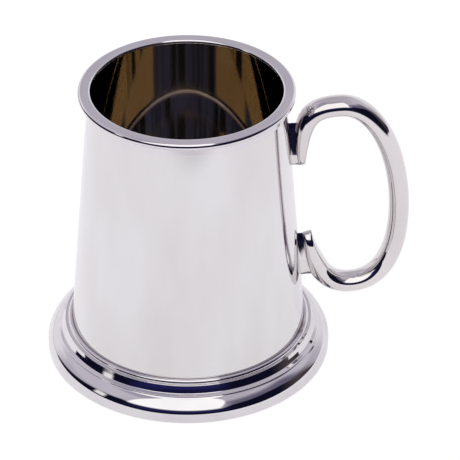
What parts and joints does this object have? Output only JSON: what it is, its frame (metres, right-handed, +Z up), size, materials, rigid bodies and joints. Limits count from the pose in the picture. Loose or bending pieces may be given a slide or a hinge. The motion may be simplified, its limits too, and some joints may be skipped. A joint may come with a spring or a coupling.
{
  "type": "baby mug",
  "caption": "Small tapered metal mug with an overhanging rim, a stepped moulded foot and a round C-shaped handle.",
  "frame": {"origin": "on the surface the mug stands on, under the middle of the whole mug with its handle", "axes": "+Z up along the mug's own axis, +X towards the handle, +Y across the handle"},
  "size_m": [0.0918, 0.0718, 0.075],
  "materials": {
    "wall": "polished pewter, spun",
    "moulding": "polished pewter, turned",
    "bottom": "polished pewter, sheet",
    "handle": "polished pewter, cast"
  },
  "bodies": {
    "root": {"barrel": "wall", "rim_ring": "moulding", "bottom_disc": "bottom", "foot_ring": "moulding", "handle": "handle"}
  },
  "joints": []
}
